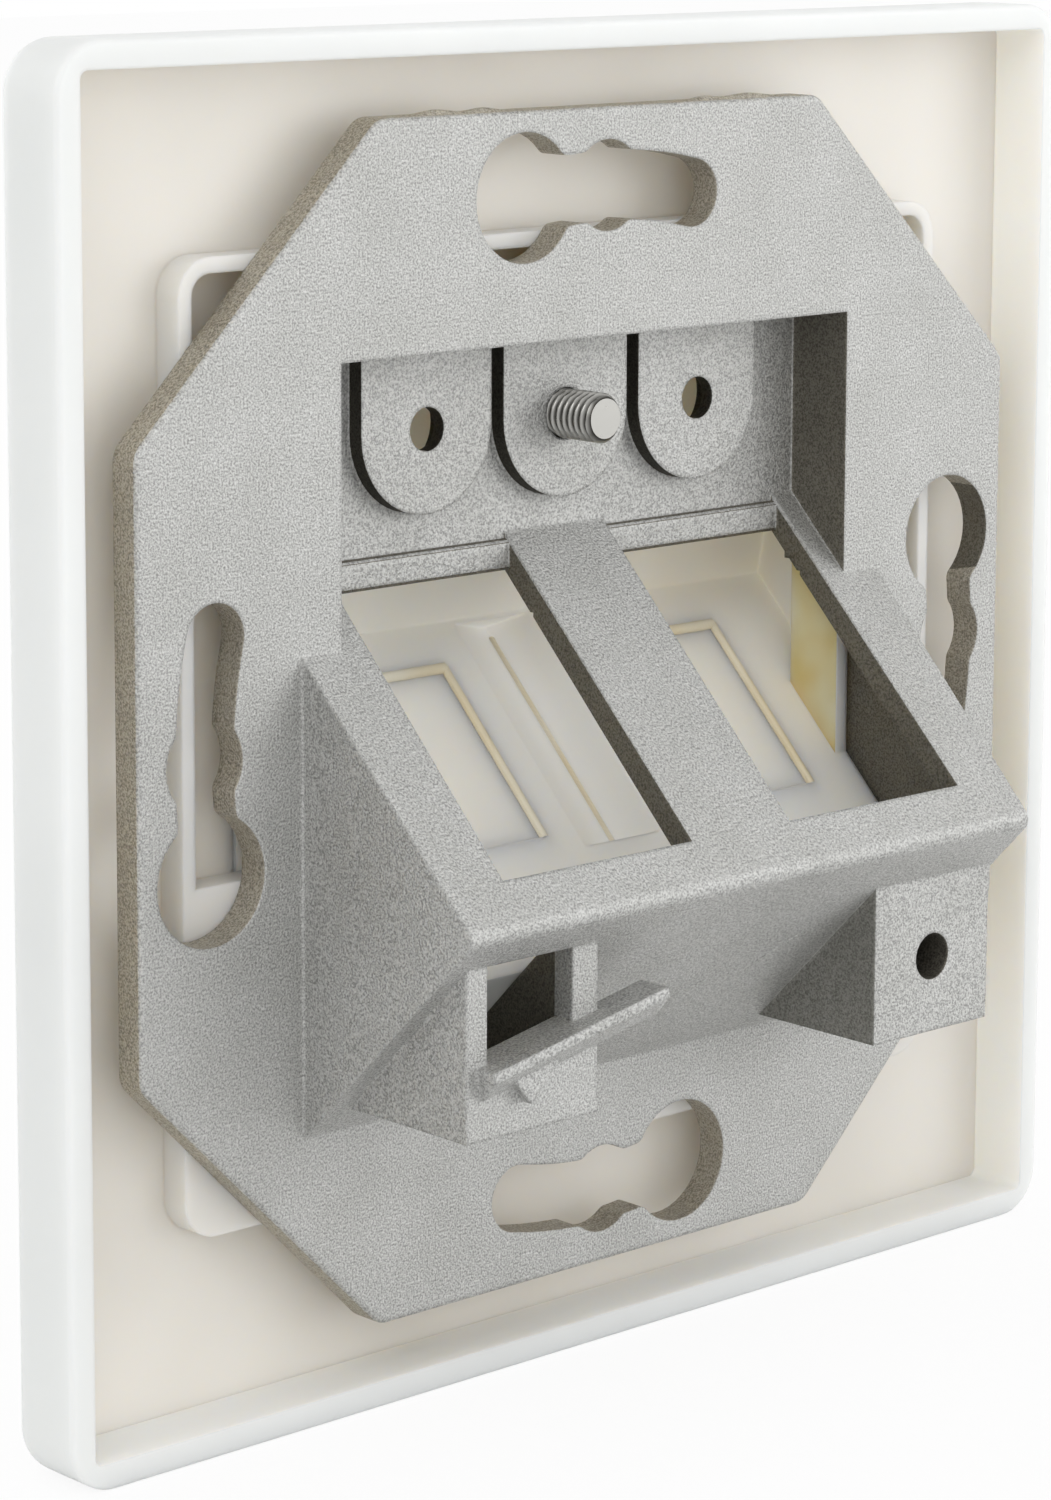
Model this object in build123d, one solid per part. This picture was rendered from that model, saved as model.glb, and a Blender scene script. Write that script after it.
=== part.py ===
from build123d import *
import math
import os

# Flush wall outlet for two keystone jacks, all lengths in mm.
# Wall plane is y = 0, the room is towards -Y and the wall box towards +Y.
# Z is up and the outlet's centre line is x = 0, z = 0.

# cover frame
frame_size = 80.0
frame_depth = 5.6
frame_corner_r = 3.0
rim_wall = 1.6
rim_inner_r = 0.5
panel_thickness = 1.6
collar_width = 60.8
collar_height = 55.6
collar_wall = 0.9
collar_corner_r = 2.2
collar_shelf_z = -7.5
ledge_width = 1.4

# die-cast support
plate_inset = 5.0
plate_corner = 17.7
plate_thickness = 2.0
plate_corner_r = 1.6
cast_wall = 1.6

# claw-screw slots in the support plate
slot_radius = 30.4
slot_width = 4.1
slot_end_r = 3.8
slot_end_circle_r = 30.7
slot_end_angle = 12.4
slot_tail_angle = 13.2
slot_notch_r = 2.7
slot_corner_r = 0.7

# sunk field above the jacks
recess_half_width = 20.5
recess_top = 21.5
recess_depth = 4.6
recess_wall = 2.1
lip_top = 9.35
lip_height = 1.9
lip_bulge = 0.5
pad_width = 10.0
pad_pitch = 11.0
pad_height = 1.05
pad_hole_z = 16.6
pad_hole_r = 1.3
pad_hole_depth = 0.9
pad_relief_r = 2.6

# wedge that carries the jacks, both faces at 45 degrees
slope_at_wall = 5.2
under_at_wall = -22.6
wedge_half_width = 23.4
wedge_draft = 2.5
wedge_side_wall = 1.8

# jack openings in the slope
jack_width = 14.65
jack_pitch = 22.65
jack_bottom_z = -6.3

# cable-tie lug and earth boss under the ridge
lug_from_x = 11.6
lug_to_x = 21.5
lug_rear = 11.7
lug_bottom = -20.8
lug_wall = 1.5
window_pillar = 1.9
tongue_height = 1.9
tongue_reach = 1.5
tongue_tilt = 11.0
tongue_from_x = 6.4
tongue_z = -16.2
boss_from_x = 12.4
boss_to_x = 22.5
boss_rear = 10.7
boss_bottom = -21.6
earth_hole_x = 17.5
earth_hole_z = -16.9
earth_hole_r = 1.45
earth_hole_depth = 6.0

# centre plate with the slanted port panel
insert_gap = 0.2
hood_top_depth = 2.4
hood_lip_z = 3.0
insert_wall = 1.6
hood_gap = 0.8
lining_offset = 8.5
lining_thickness = 1.5
skirt_wall = 1.0
skirt_rear = -0.4
port_width = 11.6
port_length = 12.6
port_top_z = 1.3
mouth_low = -22.0
groove_width = 6.2
groove_depth = 0.9

# dust covers and fixing screw
cover_gap = 0.1
cover_sunk = 0.3
cover_rim = 0.6
cover_rim_thickness = 0.6
cover_tab_width = 4.0
cover_tab_height = 1.2
screw_r = 1.5
screw_head_r = 2.75
screw_head_height = 1.9
screw_tip_y = -0.1
screw_gap = 0.05
screw_head_y = -7.9
screw_post_r = 3.6
screw_drive_width = 0.8
screw_drive_depth = 0.9

# values that follow from the ones above
ROOT2 = 2 ** 0.5
plate_size = frame_size - 2 * plate_inset
cavity_half_width = wedge_half_width - wedge_side_wall
lining_half_width = cavity_half_width - skirt_wall - insert_gap
centre_size = 2 * (recess_half_width + recess_wall + hood_gap + insert_wall)
ledge_opening = centre_size - 2 * ledge_width
panel_back = -frame_depth + panel_thickness
recess_front = -recess_depth - cast_wall
ridge_y = (slope_at_wall - under_at_wall) / 2
ridge_z = slope_at_wall - ridge_y
inner_slope = slope_at_wall - cast_wall * ROOT2
inner_under = under_at_wall + cast_wall * ROOT2
lining_back = slope_at_wall - lining_offset * ROOT2
lining_front = lining_back - lining_thickness * ROOT2
lining_under = inner_under + insert_gap * ROOT2
pocket_under = lining_under + skirt_wall * ROOT2
pad_face = -recess_depth + pad_height


def box(x0, x1, y0, y1, z0, z1):
    """A box between the given planes."""
    middle = ((x0 + x1) / 2, (y0 + y1) / 2, (z0 + z1) / 2)
    return Pos(*middle) * Box(x1 - x0, y1 - y0, z1 - z0)


def side_prism(points, half_width):
    """A side-view outline in (y, z), made as wide as twice the half width."""
    outline = Plane.YZ * make_face(Polyline(*points, close=True))
    return extrude(outline, amount=half_width, both=True)


def square_prism(size, corner_r, y0, y1, height=None):
    """A square, or a rectangle, with rounded corners that reaches from y0 to y1."""
    outline = Plane.XZ.offset(-y1) * RectangleRounded(size, height or size, corner_r)
    return extrude(outline, amount=y1 - y0)


def round_bar(x, z, radius, y0, y1):
    """A cylinder along Y from y0 to y1."""
    return extrude(Plane.XZ.offset(-y1) * Pos(x, z) * Circle(radius), amount=y1 - y0)


def slot_outline():
    """One keyhole slot above the centre: an arc, its round end and its notch."""
    sweep = slot_end_angle + slot_tail_angle
    arc = CenterArc((0, 0), slot_radius, 90 - slot_end_angle, sweep)
    outline = SlotArc(arc, slot_width) + Pos(0, slot_radius) * Circle(slot_notch_r)
    outline += Rot(0, 0, -slot_end_angle) * Pos(0, slot_end_circle_r) * Circle(slot_end_r)
    closed = offset(outline, amount=slot_corner_r)
    return offset(closed, amount=-slot_corner_r)


def support_plate():
    """The eight-sided plate with four keyhole slots near a 61 mm circle."""
    a, c = plate_size / 2, plate_corner
    corners = [(-c, a), (c, a), (a, c), (a, -c), (c, -a), (-c, -a), (-a, -c), (-a, c)]
    outline = make_face(Polyline(*corners, close=True))
    outline = fillet(outline.vertices(), plate_corner_r)
    plate = extrude(Plane.XZ * outline, amount=plate_thickness)
    plate = fillet(plate.faces().sort_by(Axis.Y)[-1].edges(), 0.3)
    slot = extrude(Plane.XZ * slot_outline(), amount=plate_thickness)
    for turn in range(4):
        plate -= Rot(0, 90 * turn, 0) * slot
    return plate


def wedge():
    """The solid wedge behind the plate, its sides drawn in towards the ridge."""
    rise = 1.0
    points = [(-rise, slope_at_wall + rise), (ridge_y, ridge_z), (-rise, under_at_wall - rise)]
    body = side_prism(points, 40)
    ridge = body.edges().filter_by(Axis.X).sort_by(Axis.Y)[-1]
    body = fillet(ridge, 0.8)
    reach = ridge_y + 1
    foot = Plane.XZ * Rectangle(2 * wedge_half_width, 90)
    return body & extrude(foot, amount=-reach, taper=wedge_draft)


def recess():
    """The sunk field above the slope, open to the rear."""
    top, low = recess_top, slope_at_wall
    points = [(-recess_depth, low + recess_depth), (-recess_depth, top), (1, top), (1, low - 1)]
    return side_prism(points, recess_half_width)


def field_lip():
    """The rounded lower lip of the sunk field, above the jacks."""
    face, low = -recess_depth, lip_top - lip_height
    front, back = face - 0.2, face + lip_bulge
    points = [(front, lip_top), (back, lip_top), (back, low), (front, low)]
    lip = side_prism(points, (jack_pitch + jack_width) / 2)
    return fillet(lip.edges().filter_by(Axis.X).sort_by(Axis.Y)[-2:], 0.8 * lip_bulge)


def pad(x):
    """A raised pad with a round foot, hanging from the top of the recess."""
    foot = pad_hole_z
    outline = Pos(x, foot) * Circle(pad_width / 2)
    outline += Pos(x, (foot + recess_top) / 2) * Rectangle(pad_width, recess_top - foot)
    return extrude(Plane.XZ.offset(-pad_face) * outline, amount=pad_height)


def jack_opening(x):
    """One opening through the slope, up to the floor of the sunk field."""
    depth = cast_wall * ROOT2 + 0.4
    low, front = slope_at_wall - jack_bottom_z, -recess_depth
    points = [(low, jack_bottom_z), (low - depth, jack_bottom_z - depth)]
    points += [(front, slope_at_wall - 2 * depth - front), (front, slope_at_wall - front)]
    return Pos(x, 0, 0) * side_prism(points, jack_width / 2)


def lug_block(rear, low):
    """Side view of a block under the wedge, from the plate to its rear face."""
    return [(-1, under_at_wall), (-1, low), (rear, low), (rear, under_at_wall + rear)]


def tie_lug():
    """The lug's outside, its hollow and the window in its rear face."""
    width = (lug_to_x - lug_from_x) / 2
    middle = Pos((lug_to_x + lug_from_x) / 2, 0, 0)
    outside = middle * side_prism(lug_block(lug_rear, lug_bottom), width)
    floor = lug_bottom + lug_wall
    back = lug_rear - lug_wall
    points = [(floor - inner_under, floor), (back, floor), (back, inner_under + back)]
    hollow = middle * side_prism(points, width - lug_wall)
    near, far = lug_from_x + window_pillar, lug_to_x - lug_wall
    high = under_at_wall + lug_rear
    corners = [(near, high), (far, high), (far, tongue_top(far)), (near, tongue_top(near))]
    outline = Plane.XZ.offset(-lug_rear) * make_face(Polyline(*corners, close=True))
    return outside, hollow, extrude(outline, amount=lug_wall + 0.5, both=True)


def tongue_top(x):
    """The height of the tongue's upper face, which falls away from the centre line."""
    middle = (tongue_from_x + lug_to_x) / 2
    return tongue_z + tongue_height / 2 + (middle - x) * math.tan(math.radians(tongue_tilt))


def tie_tongue():
    """The tilted tongue below the window, its rear face undercut, with a small barb."""
    length = lug_to_x - lug_wall - tongue_from_x
    middle = (lug_to_x + tongue_from_x) / 2
    half, root = tongue_height / 2, -lug_wall / 2
    points = [(root, half), (tongue_reach, half), (tongue_reach, half - 0.6)]
    points += [(0.2, -half), (root, -half)]
    bar = side_prism(points, length / 2)
    barb = make_face(Polyline((1.2, -0.4), (4.8, -0.4), (3.8, -2.2), close=True))
    barb = extrude(Plane.XZ * barb, amount=-tongue_reach / 2)
    return Pos(middle, lug_rear, tongue_z) * Rot(0, tongue_tilt, 0) * (bar + barb)


def earth_boss():
    """The boss for the earthing screw."""
    width = (boss_to_x - boss_from_x) / 2
    middle = -(boss_to_x + boss_from_x) / 2
    return Pos(middle, 0, 0) * side_prism(lug_block(boss_rear, boss_bottom), width)


def cavity():
    """The hollow of the wedge, open to the room through the plate."""
    front, foot = -8, -plate_thickness - 0.1
    deep = ((inner_slope - inner_under) / 2, (inner_slope + inner_under) / 2)
    points = [(front, inner_slope - front), deep]
    points += [(foot, inner_under + foot), (front, inner_under + foot)]
    return side_prism(points, cavity_half_width)


def support_frame():
    """The zinc casting: plate, sunk field, wedge, lug and boss in one piece."""
    outer = recess_half_width + recess_wall
    body = support_plate()
    body += box(-outer, outer, recess_front, -0.5, slope_at_wall, recess_top + cast_wall)
    body += wedge()
    lug, hollow, window = tie_lug()
    body += lug + earth_boss()
    body -= cavity()
    body -= recess()
    body += tie_tongue()
    body -= hollow
    body -= window
    for side in (-1, 1):
        body -= jack_opening(side * jack_pitch / 2)
    body += field_lip()
    for place in (-1, 0, 1):
        body += pad(place * pad_pitch)
    for place, radius in ((-1, pad_hole_r), (0, screw_r + screw_gap), (1, pad_hole_r)):
        body -= round_bar(place * pad_pitch, pad_hole_z, radius, recess_front - 1, 1)
    for side in (-1, 1):
        relief = pad_face - pad_hole_depth
        body -= round_bar(side * pad_pitch, pad_hole_z, pad_relief_r, recess_front - 1, relief)
    depth = boss_rear - earth_hole_depth
    body -= round_bar(-earth_hole_x, earth_hole_z, earth_hole_r, depth, boss_rear + 1)
    return body


def collar():
    """The upright wall behind the panel that the die-cast plate rests on."""
    start, end = panel_back - 0.1, -plate_thickness
    wall = square_prism(collar_width, collar_corner_r, start, end, collar_height)
    inner_width = collar_width - 2 * collar_wall
    inner_height = collar_height - 2 * collar_wall
    inner_r = collar_corner_r - collar_wall
    hollow = square_prism(inner_width, inner_r, start - 1, end + 1, inner_height)
    return wall - (hollow & box(-99, 99, start - 1, end + 1, collar_shelf_z, 99))


def cover_frame():
    """The square frame with its rim, its panel and the collar round the opening."""
    body = square_prism(frame_size, frame_corner_r, -frame_depth, 0)
    body = fillet(body.faces().sort_by(Axis.Y)[0].edges(), 1.4)
    body = fillet(body.faces().sort_by(Axis.Y)[-1].edges(), 0.3)
    inside = frame_size - 2 * rim_wall
    body -= square_prism(inside, rim_inner_r, panel_back, 1)
    body += collar()
    opening = centre_size + 2 * insert_gap
    body -= square_prism(opening, 1.0, -frame_depth - 1, panel_back)
    body -= square_prism(ledge_opening, 1.0, -frame_depth - 1, 1)
    return body


def band(front, back, start_y, half_width):
    """The space between two planes parallel to the slope, behind a given y."""
    reach = 40
    points = [(start_y, front - start_y), (start_y + reach, front - start_y - reach)]
    points += [(start_y + reach, back - start_y - reach), (start_y, back - start_y)]
    return side_prism(points, half_width)


def pocket(back, under, mouth_y, mouth_z, half_width):
    """A space under the slope: its slanted roof, its floor and its open mouth."""
    deep_y, deep_z = (back - under) / 2, (back + under) / 2
    points = [(mouth_y, back - mouth_y), (deep_y, deep_z)]
    points += [(mouth_z - under, mouth_z), (mouth_y, mouth_z)]
    return side_prism(points, half_width)


def hood(inset):
    """The hood over the sunk field, drawn in by the inset on its outer faces."""
    top = centre_size / 2 - inset
    front_top = -frame_depth - hood_top_depth + inset
    roof = lining_front if inset == 0 else lining_back
    lip_y = lining_front - hood_lip_z + inset
    back = panel_back if inset == 0 else 1
    foot = -frame_depth if inset == 0 else 1
    points = [(back, top), (front_top, top), (lip_y, roof - lip_y), (foot, roof - foot)]
    points += [(back, roof - foot)] if inset == 0 else []
    return side_prism(points, centre_size / 2 - inset)


def in_lining(x, down, near, far, shape):
    """A flat shape sunk in the lining, between two depths below its back face."""
    start = (0, lining_back - port_top_z, port_top_z)
    face = Plane(origin=start, x_dir=(1, 0, 0), z_dir=(0, 1, 1)).offset(-near)
    return extrude(face * Pos(x, down, 0) * shape, amount=near - far)


def lining_groove():
    """The shallow V groove down the back of the lining, between the ports."""
    start = (0, lining_back - port_top_z - 2, port_top_z + 2)
    end_face = Plane(origin=start, x_dir=(1, 0, 0), z_dir=(0, 1, -1))
    half = groove_width / 2
    outline = make_face(Polyline((-half, 0), (half, 0), (0, groove_depth), close=True))
    return extrude(end_face * outline, amount=port_length + 4)


def centre_plate():
    """The plate in the frame's opening, with the hood and the slanted port panel."""
    body = square_prism(centre_size, 0.8, -frame_depth, panel_back)
    cap = hood(0) & square_prism(centre_size, 0.8, -20, panel_back)
    body += fillet(cap.edges().filter_by(Axis.X).sort_by(Axis.Y)[:2], 0.8)
    body -= hood(insert_wall)
    outer = lining_half_width + skirt_wall
    reach = inner_slope - 2 * insert_gap
    body += pocket(reach, lining_under, panel_back - 0.4, mouth_low - skirt_wall, outer)
    body -= pocket(lining_front, pocket_under, -30, mouth_low, lining_half_width)
    body -= band(lining_back, reach + 1, -frame_depth, lining_half_width)
    body -= band(lining_back, reach + 1, skirt_rear, outer + 1)
    body += round_bar(0, pad_hole_z, screw_post_r, screw_head_y - 0.6, recess_front)
    body -= round_bar(0, pad_hole_z, screw_head_r + insert_gap, -20, screw_head_y)
    body -= round_bar(0, pad_hole_z, screw_r + insert_gap, -20, 0)
    body -= lining_groove()
    port = Rectangle(port_width, port_length)
    for side in (-1, 1):
        x = side * jack_pitch / 2
        body -= in_lining(x, port_length / 2, -0.1, lining_thickness + 0.1, port)
    return body


def dust_cover(x):
    """A cover pressed into a port from the front, with a rim and a finger tab."""
    middle = port_length / 2
    plug = Rectangle(port_width - 2 * cover_gap, port_length - 2 * cover_gap)
    rim = Rectangle(port_width + 2 * cover_rim, port_length + 2 * cover_rim)
    tab = Rectangle(cover_tab_width, cover_rim_thickness)
    front = lining_thickness + cover_rim_thickness
    body = in_lining(x, middle, cover_sunk, front, plug)
    body += in_lining(x, middle, lining_thickness, front, rim)
    return body + in_lining(x, port_length - 1.5, front, front + cover_tab_height, tab)


def centre_screw():
    """The slotted screw that draws the centre plate on to the casting."""
    head_front = screw_head_y - screw_head_height
    head = round_bar(0, pad_hole_z, screw_head_r, head_front, screw_head_y)
    head = fillet(head.edges().filter_by(GeomType.CIRCLE).sort_by(Axis.Y)[0], 0.5)
    half = screw_drive_width / 2
    low, high = pad_hole_z - half, pad_hole_z + half
    head -= box(-4, 4, head_front - 1, head_front + screw_drive_depth, low, high)
    shank = round_bar(0, pad_hole_z, screw_r, screw_head_y - 0.1, screw_tip_y)
    shank = chamfer(shank.edges().filter_by(GeomType.CIRCLE).sort_by(Axis.Y)[-1], 0.35)
    return head + shank


def main():
    os.makedirs("parts", exist_ok=True)
    nodes = {
        "support_frame": support_frame(),
        "cover_frame": cover_frame(),
        "centre_plate": centre_plate(),
        "dust_cover_left": dust_cover(jack_pitch / 2),
        "dust_cover_right": dust_cover(-jack_pitch / 2),
        "centre_screw": centre_screw(),
    }
    for name, solid in nodes.items():
        export_step(solid, f"parts/{name}.step")
        print(name, len(solid.solids()), round(solid.volume), solid.bounding_box())


main()
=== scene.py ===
# %% [markdown]
# # A flush wall outlet seen from behind
# The object is an outlet for two network jacks: a white moulded cover frame, a grey
# die-cast support that the wall box's claw screws hold, and a white centre plate that
# shows through the openings. The solids come from the CAD model, and this lesson
# gives them their surfaces, cuts a real thread on the screw, and lights the set.
# All lengths are in metres, X is the outlet's width, Y points into the wall, Z is up.

# %% Load the solids
import math

import bmesh
import bpy
from mathutils import Matrix, Vector


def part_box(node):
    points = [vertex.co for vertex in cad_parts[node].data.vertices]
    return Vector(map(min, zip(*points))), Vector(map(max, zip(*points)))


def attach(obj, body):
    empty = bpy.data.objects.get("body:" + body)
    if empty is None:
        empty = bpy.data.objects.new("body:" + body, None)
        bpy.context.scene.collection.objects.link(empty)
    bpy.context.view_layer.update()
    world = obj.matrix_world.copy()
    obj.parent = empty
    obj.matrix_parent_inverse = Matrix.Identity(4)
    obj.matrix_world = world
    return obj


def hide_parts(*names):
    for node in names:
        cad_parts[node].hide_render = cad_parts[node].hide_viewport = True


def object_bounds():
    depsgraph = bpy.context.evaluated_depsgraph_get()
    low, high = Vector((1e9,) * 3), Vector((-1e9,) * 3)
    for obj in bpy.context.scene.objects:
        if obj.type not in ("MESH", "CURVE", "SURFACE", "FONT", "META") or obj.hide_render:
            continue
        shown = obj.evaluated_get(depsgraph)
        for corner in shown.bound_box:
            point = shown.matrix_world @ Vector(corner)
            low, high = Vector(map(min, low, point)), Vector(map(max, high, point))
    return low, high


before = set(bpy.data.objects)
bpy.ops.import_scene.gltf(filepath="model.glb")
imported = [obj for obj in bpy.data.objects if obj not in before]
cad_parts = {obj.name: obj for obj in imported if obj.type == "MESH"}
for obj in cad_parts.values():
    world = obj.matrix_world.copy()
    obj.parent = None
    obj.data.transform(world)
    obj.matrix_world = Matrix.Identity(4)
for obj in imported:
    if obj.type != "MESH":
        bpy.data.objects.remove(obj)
cad_low, cad_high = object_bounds()
mm = 0.001
print("solids:", sorted(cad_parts))

# %% [markdown]
# ## Camera
# The photograph is taken from behind and a little above, close enough that the near
# edge looks much taller than the far edge. The place, turn and lens below were
# found by matching the corners of the plate, the slots and the frame. The camera is
# built from three directions instead of a target point, because the lens is shifted
# down a little, and a look-at rule would hide that.

# %% Camera
yaw, pitch, roll = 0.74373, 0.15499, -0.00383
photo_width, photo_height = 1051, 1500
focal_pixels = 4493.55
centre_row = 520


def from_photo_axes(sideways, up, towards):
    """A direction in the photograph's axes, as one in the outlet's axes."""
    return Vector((-sideways, towards, up))


def camera_axes(yaw, pitch, roll):
    """The camera's right, up and back directions, as the rows of three turns."""
    turn = Matrix(((math.cos(yaw), 0, math.sin(yaw)), (0, 1, 0), (-math.sin(yaw), 0, math.cos(yaw))))
    nod = Matrix(((1, 0, 0), (0, math.cos(pitch), -math.sin(pitch)), (0, math.sin(pitch), math.cos(pitch))))
    lean = Matrix(((math.cos(roll), -math.sin(roll), 0), (math.sin(roll), math.cos(roll), 0), (0, 0, 1)))
    return [from_photo_axes(*row) for row in lean @ nod @ turn]


right, up, back = camera_axes(yaw, pitch, roll)
lens = bpy.data.cameras.new("rear_view_lens")
lens.sensor_width = 36
lens.lens = focal_pixels / photo_height * lens.sensor_width
lens.shift_y = (centre_row - photo_height / 2) / photo_height
lens.clip_start = 0.01
camera = bpy.data.objects.new("rear_view_camera", lens)
camera.matrix_world = Matrix((right, up, back)).transposed().to_4x4()
camera.location = (0.18141, 0.19014, 0.05160)
bpy.context.scene.collection.objects.link(camera)
bpy.context.scene.camera = camera
print("lens", round(lens.lens, 2), "mm, shift", round(lens.shift_y, 3))

# %% [markdown]
# ## Colours and nodes
# Colours are read off as the hex values that a screen shows, and Blender mixes light
# in linear values, so one function converts them. A second small function adds a
# shader node, fills in its settings and joins its inputs, which keeps each material
# readable as a list of steps.

# %% Colour and node helpers
def linear(hex_colour):
    """A hex colour as it is seen on screen, turned to Blender's linear values."""
    values = [int(hex_colour[i:i + 2], 16) / 255 for i in (1, 3, 5)]
    return tuple(v / 12.92 if v <= 0.04045 else ((v + 0.055) / 1.055) ** 2.4 for v in values) + (1.0,)


def add_node(tree, kind, settings=None, **inputs):
    """Adds a node. Inputs are numbers, colours, or another node's output socket."""
    node = tree.nodes.new(kind)
    for name, value in (settings or {}).items():
        setattr(node, name, value)
    for name, value in inputs.items():
        socket = node.inputs[int(name[1:]) if name[1:].isdigit() else name.replace("_", " ")]
        if isinstance(value, bpy.types.NodeSocket):
            tree.links.new(value, socket)
        else:
            socket.default_value = value
    return node


def new_material(name):
    """An empty material with its output and a Principled shader."""
    material = bpy.data.materials.new(name)
    material.use_nodes = True
    tree = material.node_tree
    return material, tree, tree.nodes["Principled BSDF"]


def per_metre(size_mm):
    """A texture scale at which one feature is the given size in millimetres."""
    return 1000 / size_mm


print("white is", linear("#FFFFFF"))

# %% [markdown]
# ## Zinc die casting
# The support is pressure-cast zinc alloy. After casting it is shot-blasted, which
# leaves a matt grey skin with a sparkling grain, because every tiny dent is its own
# mirror; here that sparkle is painted into the colour as bright specks, a painted
# glint. The press that trims the casting leaves rougher, browner walls on the rim of
# the plate and in its slots. The deep walls in the wedge, the lug's window, the wall
# of the recess and the walls round the earth point get a darker copy of the zinc as
# painted shade, the steps of the three pads a still darker copy as painted shadow,
# and the side of the earth boss a darker copy as painted shade. So the one casting
# has five finishes, made by one function.
# A metal's colour is the colour of its reflection, so metallic is 1 and the default
# IOR stays. The real grain is near 0.1 mm; it is drawn at 0.13 mm so that it shows.

# %% Zinc die casting
grain_mm = 0.13
cloud_mm = 5.0
edge_mm = 0.35
dark_cloud, light_cloud = "#F6F6F5", "#FFFFFF"


def cast_zinc(name, dark_hex, light_hex, sparkle_hex, roughness, dent_mm):
    """A blasted zinc skin or a darker copy as painted shade: clouds of tone, fine grain, dents and painted
    glints.
    """
    material, tree, shader = new_material(name)
    place = add_node(tree, "ShaderNodeTexCoord").outputs["Object"]
    grain = add_node(tree, "ShaderNodeTexNoise", i0=place, Scale=per_metre(grain_mm), Detail=3.0)
    cloud = add_node(tree, "ShaderNodeTexNoise", i0=place, Scale=per_metre(cloud_mm), Detail=4.0)
    facet = add_node(tree, "ShaderNodeTexVoronoi", i0=place, Scale=per_metre(grain_mm))
    spread = add_node(tree, "ShaderNodeMapRange", i0=grain.outputs["Fac"], i1=0.34, i2=0.62)
    tone = add_node(tree, "ShaderNodeMix", {"data_type": "RGBA"},
                    i0=spread.outputs[0], i6=linear(dark_hex), i7=linear(light_hex))
    # sparkle: bright specks painted into the colour, a painted glint
    sparkle = add_node(tree, "ShaderNodeMapRange", i0=facet.outputs["Color"], i1=0.75, i2=1.0, i4=0.35)
    speckled = add_node(tree, "ShaderNodeMix", {"data_type": "RGBA"},
                        i0=sparkle.outputs[0], i6=tone.outputs[2], i7=linear(sparkle_hex))
    drift = add_node(tree, "ShaderNodeMapRange", i0=cloud.outputs["Fac"], i1=0.3, i2=0.7)
    shade = add_node(tree, "ShaderNodeMix", {"data_type": "RGBA"},
                     i0=drift.outputs[0], i6=linear(dark_cloud), i7=linear(light_cloud))
    skin = add_node(tree, "ShaderNodeMix", {"data_type": "RGBA", "blend_type": "MULTIPLY"},
                    i0=1.0, i6=speckled.outputs[2], i7=shade.outputs[2])
    rough = add_node(tree, "ShaderNodeMapRange", i0=grain.outputs["Fac"], i1=0.3, i2=0.7,
                     i3=roughness - 0.08, i4=roughness + 0.08)
    rounded = add_node(tree, "ShaderNodeBevel", {"samples": 6}, Radius=edge_mm * mm)
    bump = add_node(tree, "ShaderNodeBump", Strength=1.0, Distance=dent_mm * mm,
                    Height=grain.outputs["Fac"], Normal=rounded.outputs[0])
    tree.links.new(skin.outputs[2], shader.inputs["Base Color"])
    tree.links.new(rough.outputs[0], shader.inputs["Roughness"])
    tree.links.new(bump.outputs[0], shader.inputs["Normal"])
    shader.inputs["Metallic"].default_value = 1.0
    return material


blasted_zinc = cast_zinc("blasted_zinc", "#969694", "#D0D0CE", "#F0F0EF", 0.60, 0.07)
trimmed_zinc = cast_zinc("trimmed_zinc", "#8D887D", "#CAC5BA", "#DAD6CC", 0.66, 0.07)
# darker copies of the zinc: painted shade in recesses, painted shadow on the pads' steps, painted shade on
# the boss's side
recess_painted_shade_zinc = cast_zinc("recess_painted_shade_zinc", "#5F5C54", "#8E8A80", "#A8A49B", 0.62, 0.05)
painted_shadow_pad_zinc = cast_zinc("shadowed_zinc", "#35332E", "#57544D", "#6E6B64", 0.66, 0.05)
boss_painted_shade_zinc = cast_zinc("painted_shade_on_boss", "#767670", "#A5A49F", "#BFBEBA", 0.62, 0.06)
print("grain", grain_mm, "mm, rounded edges", edge_mm, "mm")

# %% [markdown]
# ## White ABS
# The cover frame, the centre plate and the dust covers are injection-moulded ABS. It
# has a soft sheen, and a little light passes through it and comes out warmer. The
# outside of the frame is thick and stays a cool white. The hidden side of its panel
# gets a darker, warmer copy as painted shade; the lining, the inside of the rim and
# the dust covers a brighter copy as painted light; the walls near a millimetre thick,
# which glow yellow where light comes from behind, a yellow copy as painted glow; and
# the lips along the ports a warm pale copy as painted glow. These are one plastic, so
# one function makes them and only the tone and the depth that light reaches change.

# %% White ABS
skin_mm = 0.5
mould_edge_mm = 0.25
skin_height_mm = 0.02
abs_roughness = 0.36
abs_ior = 1.53


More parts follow.
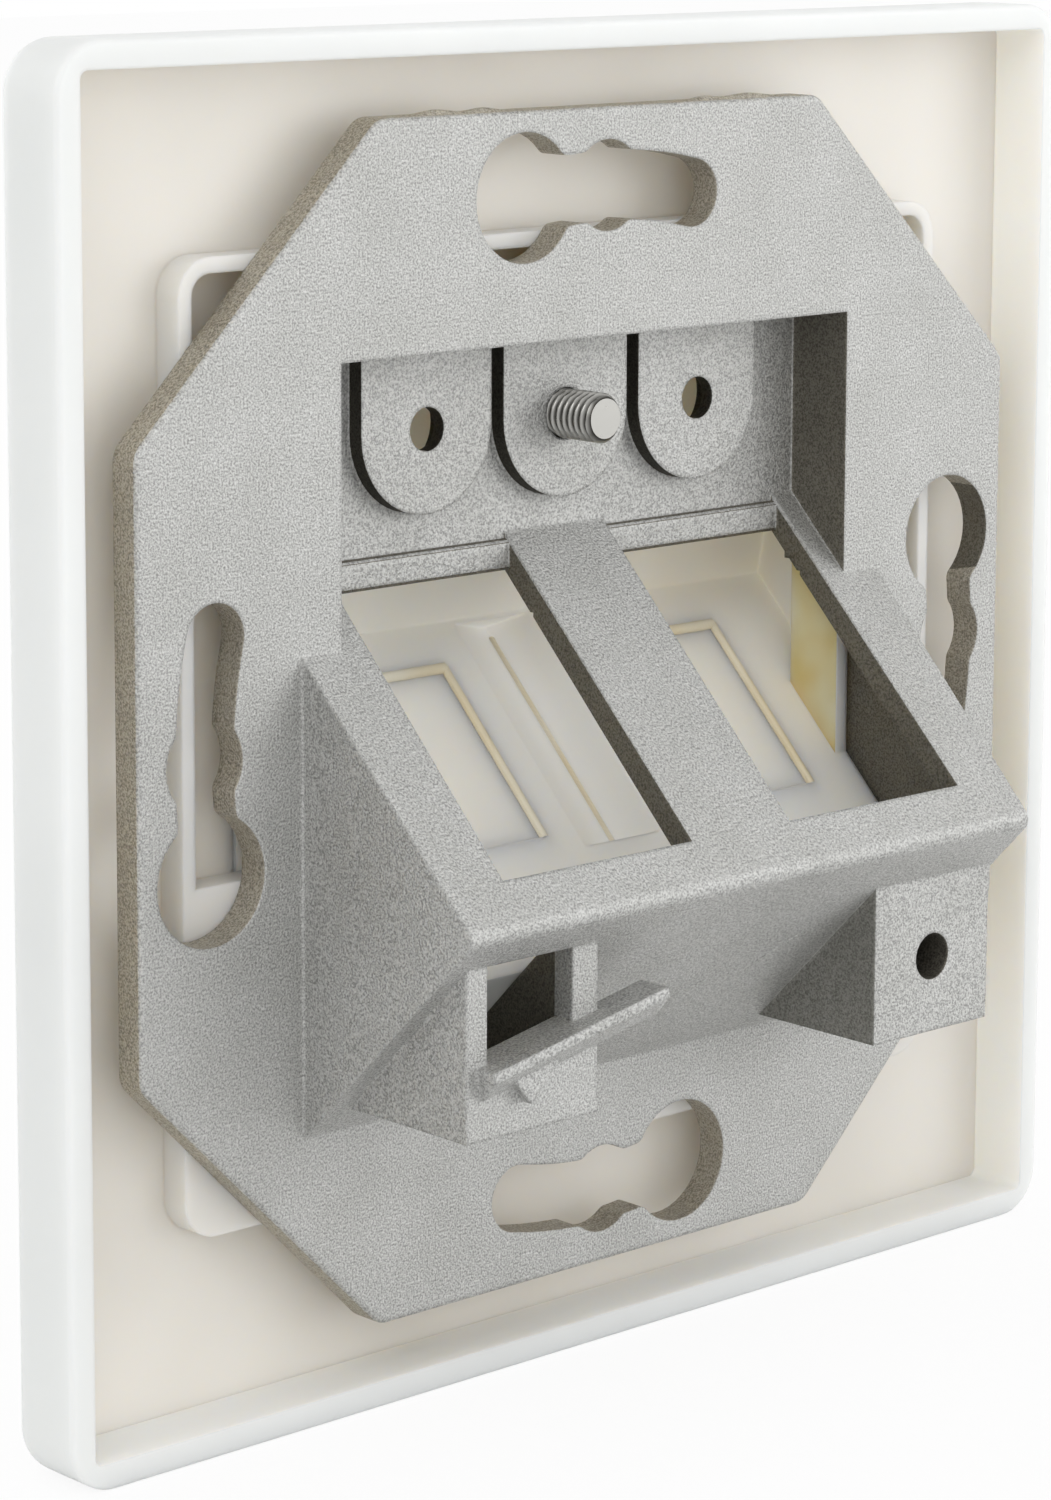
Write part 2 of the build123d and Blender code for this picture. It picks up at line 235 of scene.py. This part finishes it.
def white_abs(name, tone_hex, shade_hex, reach_mm, scatter=0.8, flow_mm=22, glow=(1.0, 0.88, 0.7)):
    """Moulded ABS with slow flow clouds, a fine skin and light under the surface."""
    material, tree, shader = new_material(name)
    place = add_node(tree, "ShaderNodeTexCoord").outputs["Object"]
    flow = add_node(tree, "ShaderNodeTexNoise", i0=place, Scale=per_metre(flow_mm), Detail=2.0)
    drift = add_node(tree, "ShaderNodeMapRange", i0=flow.outputs["Fac"], i1=0.35, i2=0.65)
    tone = add_node(tree, "ShaderNodeMix", {"data_type": "RGBA"},
                    i0=drift.outputs[0], i6=linear(shade_hex), i7=linear(tone_hex))
    skin = add_node(tree, "ShaderNodeTexNoise", i0=place, Scale=per_metre(skin_mm), Detail=2.0)
    rounded = add_node(tree, "ShaderNodeBevel", {"samples": 4}, Radius=mould_edge_mm * mm)
    bump = add_node(tree, "ShaderNodeBump", Strength=0.15, Distance=skin_height_mm * mm,
                    Height=skin.outputs["Fac"], Normal=rounded.outputs[0])
    tree.links.new(tone.outputs[2], shader.inputs["Base Color"])
    tree.links.new(bump.outputs[0], shader.inputs["Normal"])
    shader.inputs["Roughness"].default_value = abs_roughness
    shader.inputs["IOR"].default_value = abs_ior
    shader.inputs["Subsurface Weight"].default_value = scatter
    shader.inputs["Subsurface Radius"].default_value = glow
    shader.inputs["Subsurface Scale"].default_value = reach_mm * mm
    return material


outer_abs = white_abs("white_abs_outside", "#E1E3E2", "#DCDEDD", 2.5, glow=(1.0, 0.97, 0.92))
# a darker, warmer copy of the white ABS: painted shade on the panel's hidden side
panel_painted_shade_abs = white_abs("white_abs_painted_shade_panel", "#E2E0DC", "#D9D7D2", 2.5)
# a brighter copy: painted light on the lining, the inside of the rim and the dust covers
painted_light_abs = white_abs("white_abs_painted_light", "#F8F5EF", "#F3EFE7", 3.0)
# a yellow copy: painted glow on the thin side walls of the plate's pocket
painted_glow_wall_abs = white_abs("white_abs_painted_glow_wall", "#F4E6BE", "#E8CD8A", 3.0, flow_mm=5)
# a warm pale copy: painted glow on the lips, seams and groove bead
painted_glow_line_abs = white_abs("white_abs_painted_glow_line", "#FBF4E0", "#F2E2BC", 0.3, 0.2, flow_mm=8)
print("white ABS, refractive index", abs_ior)

# %% [markdown]
# ## Zinc-plated steel
# The screw is cold-headed steel with a thin bright zinc coat. It is shinier than the
# casting, and its thread is rolled. The crests, the flat end and the head keep the
# plated colour, and the roots are painted dark as painted shade. How far a point lies
# from the screw's axis tells a crest from a root, and the way the surface faces tells
# the end and the head from the thread.

# %% Zinc-plated steel
thread_outer = 1.5 * mm
thread_root = 1.2 * mm
# the first colour is painted shade for the roots, the second the plated colour of the crests, end and head
root_shade_hex, crest_hex = "#34322E", "#A6A5A1"
smooth, dull = 0.24, 0.36


def plated_steel():
    """The plated colour on the crests of the thread, the end and the head, painted shade in the roots."""
    material, tree, shader = new_material("zinc_plated_steel")
    place = add_node(tree, "ShaderNodeTexCoord").outputs["Object"]
    across = add_node(tree, "ShaderNodeVectorMath", {"operation": "MULTIPLY"}, i0=place, i1=(1, 0, 1))
    radius = add_node(tree, "ShaderNodeVectorMath", {"operation": "LENGTH"}, i0=across.outputs[0])
    crest = add_node(tree, "ShaderNodeMapRange", i0=radius.outputs["Value"],
                     i1=thread_root * 1.02, i2=thread_outer * 0.96)
    facing = add_node(tree, "ShaderNodeNewGeometry").outputs["Normal"]
    along = add_node(tree, "ShaderNodeSeparateXYZ", i0=facing).outputs["Y"]
    end = add_node(tree, "ShaderNodeMapRange", i0=along, i1=0.85, i2=0.95)
    head = add_node(tree, "ShaderNodeMapRange", i0=along, i1=-0.3, i2=-0.6)
    flat = add_node(tree, "ShaderNodeMath", {"operation": "MAXIMUM"},
                    i0=end.outputs[0], i1=head.outputs[0])
    bright = add_node(tree, "ShaderNodeMath", {"operation": "MAXIMUM"},
                      i0=crest.outputs[0], i1=flat.outputs[0])
    tone = add_node(tree, "ShaderNodeMix", {"data_type": "RGBA"},
                    i0=bright.outputs[0], i6=linear(root_shade_hex), i7=linear(crest_hex))
    rolled = add_node(tree, "ShaderNodeTexNoise", i0=place, Scale=per_metre(0.5), Detail=1.0)
    rough = add_node(tree, "ShaderNodeMapRange", i0=rolled.outputs["Fac"], i3=smooth, i4=dull)
    tree.links.new(tone.outputs[2], shader.inputs["Base Color"])
    tree.links.new(rough.outputs[0], shader.inputs["Roughness"])
    shader.inputs["Metallic"].default_value = 1.0
    return material


steel = plated_steel()
print("plated steel, roughness", smooth, "to", dull)

# %% [markdown]
# ## Give each face its finish
# The solids keep their own faces, and each face only picks a finish. A face is flat
# or nearly so, so the place of its middle and the way it looks are enough to tell a
# trimmed wall from the blasted skin, or the inside of the frame from its outside.
# The slope of the wedge runs at 45 degrees, so y + z is the same all over it.
# The values below give the places of those walls in millimetres.

# %% Rules for the casting and the plastic
slope_sum = 5.2
under_gap = -22.6
lining_sum = -6.82
wedge_skin = 0.2
wedge_half = 21.9
field_front = -6.3
pad_face = -3.5
field_low, field_high = 11, 21.6
pads_half = 16.2
recess_half = 20
window_left, window_right = 12.9, 20.2
window_low, window_high = -19.5, -9
lug_rear = 10.4
earth_x, earth_z, earth_reach = -17.5, -16.9, 1.5
boss_near, boss_far = -12.2, -12.6
plate_front, plate_back = -2.05, -0.05
panel_back = -5
rim_inside = 38.2
inward_reach = -30
hood_half = 24.5


def casting_finish(x, y, z, facing):
    """0 is blasted, 1 a trimmed wall, 2 painted shade on a deep wall, 3 painted shadow on a pad's step, 4
    painted shade on the boss's side.
    """
    # painted shadow: the step walls of the three pads take the darkest copy
    on_pad = field_front < y < pad_face and field_low < z < field_high and abs(x) < pads_half
    if on_pad and abs(facing.y) < 0.3 and abs(facing.z) < 0.99:
        return 3
    # painted shade: walls inside the wedge, the lug's window, the recess wall and the walls round the earth
    # point take a darker copy
    under_slope = y + z < slope_sum - wedge_skin
    over_underside = z - y > under_gap + wedge_skin
    in_wedge = under_slope and over_underside and abs(x) < wedge_half and y > field_front
    if in_wedge and abs(facing.y) < 0.9:
        return 2
    if window_left < x < window_right and window_low < z < window_high and 0 < y < lug_rear:
        return 2
    if x < -recess_half and facing.x > 0.7 and 4 < z < 22 and y < 0.1:
        return 2
    if math.hypot(x - earth_x, z - earth_z) < earth_reach:
        return 2
    # painted shade: the side of the earth boss takes a darker copy
    if boss_far < x < boss_near and facing.x > 0.7 and y > 3:
        return 4
    beside_field = abs(x) > 22.9 or abs(z - 10) > 13.5
    if abs(facing.y) < 0.3 and plate_front < y < plate_back and beside_field:
        return 1
    return 0


def frame_finish(x, y, z, facing):
    """0 is the frame's outside, 1 its panel's hidden side (painted shade), 2 its rim's inside (painted
    light).
    """
    if y > panel_back and max(abs(x), abs(z)) < rim_inside:
        return 1
    faces_inward = facing.x * x + facing.z * z < inward_reach
    return 2 if faces_inward else 0


def plate_finish(x, y, z, facing):
    """0 is the front of the centre plate, 1 its hidden side (painted light), 2 a thin wall (painted glow).
    """
    if facing.y < -0.3 or max(abs(x), abs(z)) > hood_half or y + z < lining_sum - 1:
        return 0
    # painted glow on the thin side walls of the pocket, painted light on the rest of the hidden side
    return 2 if abs(facing.x) > 0.7 and recess_half < abs(x) < wedge_half - 0.1 else 1


def finish(node, materials, rule=None):
    """Gives a solid its materials and lets the rule choose one for each face."""
    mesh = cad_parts[node].data
    mesh.materials.clear()
    for material in materials:
        mesh.materials.append(material)
    for face in mesh.polygons:
        x, y, z = face.center / mm
        face.material_index = rule(x, y, z, face.normal) if rule else 0
    counts = [sum(face.material_index == k for face in mesh.polygons) for k in range(len(materials))]
    print(node, "faces by finish:", counts)


zinc_finishes = [blasted_zinc, trimmed_zinc, recess_painted_shade_zinc, painted_shadow_pad_zinc, boss_painted_shade_zinc]
finish("support_frame", zinc_finishes, casting_finish)
finish("cover_frame", [outer_abs, panel_painted_shade_abs, painted_light_abs], frame_finish)
finish("centre_plate", [outer_abs, painted_light_abs, painted_glow_wall_abs], plate_finish)
finish("dust_cover_left", [painted_light_abs])
finish("dust_cover_right", [painted_light_abs])

# %% [markdown]
# ## The screw
# The centre screw is an M3 with a 0.5 mm pitch, and about eight turns of it stand out
# of the casting. A thread is one surface whose radius rises and falls once in each
# pitch and shifts by one pitch in each turn, so it is made as a grid of rings
# whose radius follows that rule, instead of a stack of discs.

# %% Cut the thread
thread_pitch = 0.5 * mm
thread_steps = 64
head_radius = 2.75 * mm
head_height = 1.9 * mm
head_edge = 0.5 * mm
slot_size = (9 * mm, 1.8 * mm, 0.8 * mm)


def thread_radius(along, turn):
    """The radius at a distance along the screw and a turn from 0 to 1."""
    phase = (along / thread_pitch - turn) % 1.0
    flank = 1 - abs(2 * phase - 1)
    return thread_root + (thread_outer - thread_root) * min(1, max(0, 1.35 * flank - 0.12))


def screw_mesh(low, high):
    """The head and the threaded shank as one closed surface."""
    shape = bmesh.new()
    seat = low.y + head_height
    rows = [(low.y, 0), (low.y, head_radius - head_edge)]
    for k in range(1, 6):
        angle = math.pi / 2 * k / 5
        along = low.y + head_edge * (1 - math.cos(angle))
        rows.append((along, head_radius - head_edge * (1 - math.sin(angle))))
    rows += [(seat, head_radius), (seat, thread_root)]
    tip = high.y
    count = round((tip - seat) / (thread_pitch / 10))
    rows += [(seat + (tip - seat) * k / count, None) for k in range(1, count + 1)]
    rows.append((tip, 0))
    rings = []
    for y, radius in rows:
        ring = []
        for step in range(thread_steps):
            turn = step / thread_steps
            reach = thread_radius(y, turn) if radius is None else radius
            reach = min(reach, thread_root + (tip - y)) if radius is None else reach
            angle = 2 * math.pi * turn
            ring.append(shape.verts.new((reach * math.cos(angle), y, reach * math.sin(angle))))
        rings.append(ring)
    for inner, outer in zip(rings, rings[1:]):
        for step in range(thread_steps):
            after = (step + 1) % thread_steps
            shape.faces.new((inner[step], inner[after], outer[after], outer[step]))
    bmesh.ops.remove_doubles(shape, verts=shape.verts, dist=1e-7)
    bmesh.ops.recalc_face_normals(shape, faces=shape.faces)
    return shape


def cut_slot(screw, low):
    """Cuts the screwdriver slot with a box, and keeps only the result."""
    cutter_mesh = bpy.data.meshes.new("slot_cutter")
    box = bmesh.new()
    bmesh.ops.create_cube(box, size=1)
    bmesh.ops.scale(box, verts=box.verts, vec=slot_size)
    bmesh.ops.translate(box, verts=box.verts, vec=(0, low.y, 0))
    box.to_mesh(cutter_mesh)
    cutter = bpy.data.objects.new("slot_cutter", cutter_mesh)
    bpy.context.scene.collection.objects.link(cutter)
    cutter.location = screw.location
    cutting = screw.modifiers.new("slot", "BOOLEAN")
    cutting.operation = "DIFFERENCE"
    cutting.object = cutter
    bpy.context.view_layer.update()
    graph = bpy.context.evaluated_depsgraph_get()
    result = bpy.data.meshes.new_from_object(screw.evaluated_get(graph))
    screw.modifiers.clear()
    screw.data = result
    bpy.data.objects.remove(cutter)


screw_low, screw_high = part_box("centre_screw")
shape = screw_mesh(screw_low, screw_high)
mesh = bpy.data.meshes.new("threaded_screw")
shape.to_mesh(mesh)
threaded = bpy.data.objects.new("threaded_screw", mesh)
bpy.context.scene.collection.objects.link(threaded)
threaded.location = (0, 0, (screw_low.z + screw_high.z) / 2)
cut_slot(threaded, screw_low)
threaded.data.materials.clear()
threaded.data.materials.append(steel)
threaded.data.polygons.foreach_set("use_smooth", [True] * len(threaded.data.polygons))
threaded.data.set_sharp_from_angle(angle=math.radians(40))
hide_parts("centre_screw")
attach(threaded, "root")
print("thread with", len(threaded.data.polygons), "faces")

# %% [markdown]
# ## Lips round the ports
# Each dust cover is pressed into its port, and on the hidden side the port's edge
# stands up as a thin lip that light shines through, brightest along its top. The
# bottom of the groove between the ports glows in the same way. That glow is painted:
# the lips, the seams down the ports' sides and a bead in the groove take a warm pale
# colour as painted glow. A lip is the same round section all along its path, so it is
# a curve with a bevel. The path lies below the skin, and only a low soft dome of the
# section stands above it.

# %% Lips round the ports
port_top = 1.3
port_half_width = 5.85
port_length = 12.6
port_pitch = 22.65
groove_depth = 0.9
lip_sink = 0.2
lip_thickness = 0.7
seam_thickness = 0.55
glow_thickness = 0.6


def on_lining(x, down, depth=0.0):
    """A point on the back of the lining: down its slope, and sunk by a depth."""
    step, sunk = down / math.sqrt(2), depth / math.sqrt(2)
    return (x * mm, (lining_sum - port_top + step - sunk) * mm, (port_top - step - sunk) * mm)


def bead(name, points, thickness_mm, material):
    """A rounded bead along straight runs, as a curve with a bevel."""
    path = bpy.data.curves.new(name, "CURVE")
    path.dimensions = "3D"
    path.bevel_depth = thickness_mm / 2 * mm
    path.bevel_resolution = 2
    run = path.splines.new("POLY")
    run.points.add(len(points) - 1)
    for point, place in zip(run.points, points):
        point.co = (*place, 1)
    path.materials.append(material)
    piece = bpy.data.objects.new(name, path)
    bpy.context.scene.collection.objects.link(piece)
    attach(piece, "root")
    return piece


for side, name in ((1, "left"), (-1, "right")):
    near = side * port_pitch / 2 - port_half_width
    far = side * port_pitch / 2 + port_half_width
    run = [on_lining(near, 0, lip_sink), on_lining(far, 0, lip_sink)]
    bead("port_lip_" + name, run, lip_thickness, painted_glow_line_abs)
    for part, x in (("near", near), ("far", far)):
        run = [on_lining(x, 0, lip_sink), on_lining(x, port_length, lip_sink)]
        bead("port_seam_" + name + "_" + part, run, seam_thickness, painted_glow_line_abs)
groove_bed = groove_depth + 0.15
groove = [on_lining(0, -2, groove_bed), on_lining(0, port_length + 1, groove_bed)]
bead("groove_glow", groove, glow_thickness, painted_glow_line_abs)
print("two lips, four seams and one glowing groove")

# %% [markdown]
# ## Flash and parting lines
# Where the two halves of the mould met, metal crept into the gap. Most of it breaks
# off in trimming, but a low wavy fin stays along the plate's top edge, and two
# faint raised lines cross the underside of the wedge. The fin is a thin strip whose
# height follows a few waves, and the lines are beads half sunk in the metal.

# %% Flash and parting lines
plate_top = 35.0
fin_half_length = 16.5
fin_steps = 150
parting_thickness = 0.16
waves = [(12.8, 1.6, 0.26), (9.2, 1.3, 0.24), (-8.6, 1.2, 0.2), (-12.2, 2.0, 0.26)]


def fin_height(x):
    """The fin's height in mm: a few low humps with nothing between them."""
    return 0.02 + sum(high * math.exp(-((x - middle) / wide) ** 2) for middle, wide, high in waves)


def casting_fin():
    """A thin strip along the plate's top edge, closed at both ends."""
    shape = bmesh.new()
    rows = []
    for k in range(fin_steps + 1):
        x = fin_half_length - 2 * fin_half_length * k / fin_steps
        top = plate_top + fin_height(x)
        section = [(-1.3, plate_top - 0.1), (-0.9, top), (-0.6, top - 0.03), (-0.35, plate_top - 0.1)]
        rows.append([shape.verts.new((x * mm, y * mm, z * mm)) for y, z in section])
    for one, two in zip(rows, rows[1:]):
        for a in range(3):
            shape.faces.new((one[a], one[a + 1], two[a + 1], two[a]))
    shape.faces.new(rows[0])
    shape.faces.new(rows[-1])
    bmesh.ops.recalc_face_normals(shape, faces=shape.faces)
    mesh = bpy.data.meshes.new("casting_fin")
    shape.to_mesh(mesh)
    mesh.materials.append(trimmed_zinc)
    fin = bpy.data.objects.new("casting_fin", mesh)
    bpy.context.scene.collection.objects.link(fin)
    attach(fin, "root")
    return fin


fin = casting_fin()
parting = [[(-5.9, 6.06, -16.54), (-8.64, 8.32, -14.28)], [(-2.8, 5.8, -16.8), (0.13, 4.78, -17.82)]]
for number, ends in enumerate(parting):
    points = [(x * mm, (y - 0.02) * mm, (z + 0.02) * mm) for x, y, z in ends]
    bead("parting_line_%d" % (number + 1), points, parting_thickness, blasted_zinc)
print("fin of", len(fin.data.polygons), "faces")

# %% [markdown]
# ## Floor and light
# A plain pale floor under the outlet and a white surround make the studio. One large
# soft lamp stands to the right of the photograph, so walls that face left stay
# darker. A second one, high on the left, fills them and the inside of the rim, and a
# weak one on the room side lets a little light through the thin plastic walls.

# %% Floor, surround and lamps
floor_half_width = 1.5
floor_gap = 0.02 * mm
floor_glow = 0.9
surround_level = 0.82


def pale_floor():
    """White paper just under the outlet, which looks white and still takes a shadow."""
    mesh = bpy.data.meshes.new("studio_floor")
    sheet = bmesh.new()
    bmesh.ops.create_grid(sheet, x_segments=1, y_segments=1, size=floor_half_width)
    sheet.to_mesh(mesh)
    floor = bpy.data.objects.new("studio_floor", mesh)
    floor.location = (0, 0, cad_low.z - floor_gap)
    bpy.context.scene.collection.objects.link(floor)
    material, tree, shader = new_material("white_paper")
    place = add_node(tree, "ShaderNodeTexCoord").outputs["Object"]
    fibre = add_node(tree, "ShaderNodeTexNoise", i0=place, Scale=per_metre(1.5))
    tone = add_node(tree, "ShaderNodeMix", {"data_type": "RGBA"},
                    i0=fibre.outputs["Fac"], i6=linear("#F6F6F6"), i7=linear("#FDFDFD"))
    tree.links.new(tone.outputs[2], shader.inputs["Base Color"])
    shader.inputs["Roughness"].default_value = 0.9
    seen = add_node(tree, "ShaderNodeLightPath")
    share = add_node(tree, "ShaderNodeMath", {"operation": "MULTIPLY"},
                     i0=seen.outputs["Is Camera Ray"], i1=floor_glow)
    white = add_node(tree, "ShaderNodeEmission", Strength=1.0)
    blend = add_node(tree, "ShaderNodeMixShader",
                     i0=share.outputs[0], i1=shader.outputs[0], i2=white.outputs[0])
    tree.links.new(blend.outputs[0], tree.nodes["Material Output"].inputs["Surface"])
    floor.data.materials.append(material)
    return floor


def white_surround(level):
    """White where the camera, gloss or glass looks, and the given level elsewhere."""
    world = bpy.data.worlds.new("white_surround")
    bpy.context.scene.world = world
    world.use_nodes = True
    tree = world.node_tree
    seen = add_node(tree, "ShaderNodeLightPath")
    through = add_node(tree, "ShaderNodeMath", {"operation": "MAXIMUM"},
                       i0=seen.outputs["Is Camera Ray"], i1=seen.outputs["Is Transmission Ray"])
    mirrored = add_node(tree, "ShaderNodeMath", {"operation": "MAXIMUM"},
                        i0=through.outputs[0], i1=seen.outputs["Is Glossy Ray"])
    strength = add_node(tree, "ShaderNodeMapRange", i0=mirrored.outputs[0], i3=level, i4=1.0)
    sky = tree.nodes["Background"]
    sky.inputs["Color"].default_value = (1, 1, 1, 1)
    tree.links.new(strength.outputs[0], sky.inputs["Strength"])


def lamp(name, place, width, watts):
    """A square soft lamp that faces the outlet."""
    light = bpy.data.lights.new(name, "AREA")
    light.size = width
    light.energy = watts
    holder = bpy.data.objects.new(name, light)
    holder.location = place
    holder.rotation_euler = (Vector(place) * -1).to_track_quat("-Z", "Y").to_euler()
    holder.visible_camera = False
    bpy.context.scene.collection.objects.link(holder)


pale_floor()
white_surround(surround_level)
lamp("key_lamp", (-0.42, 0.45, 0.12), 0.45, 1.1)
lamp("fill_lamp", (0.42, 0.35, 0.40), 0.45, 0.9)
lamp("front_lamp", (0.10, -0.60, 0.15), 0.40, 0.35)
bpy.context.scene.view_settings.view_transform = "Standard"
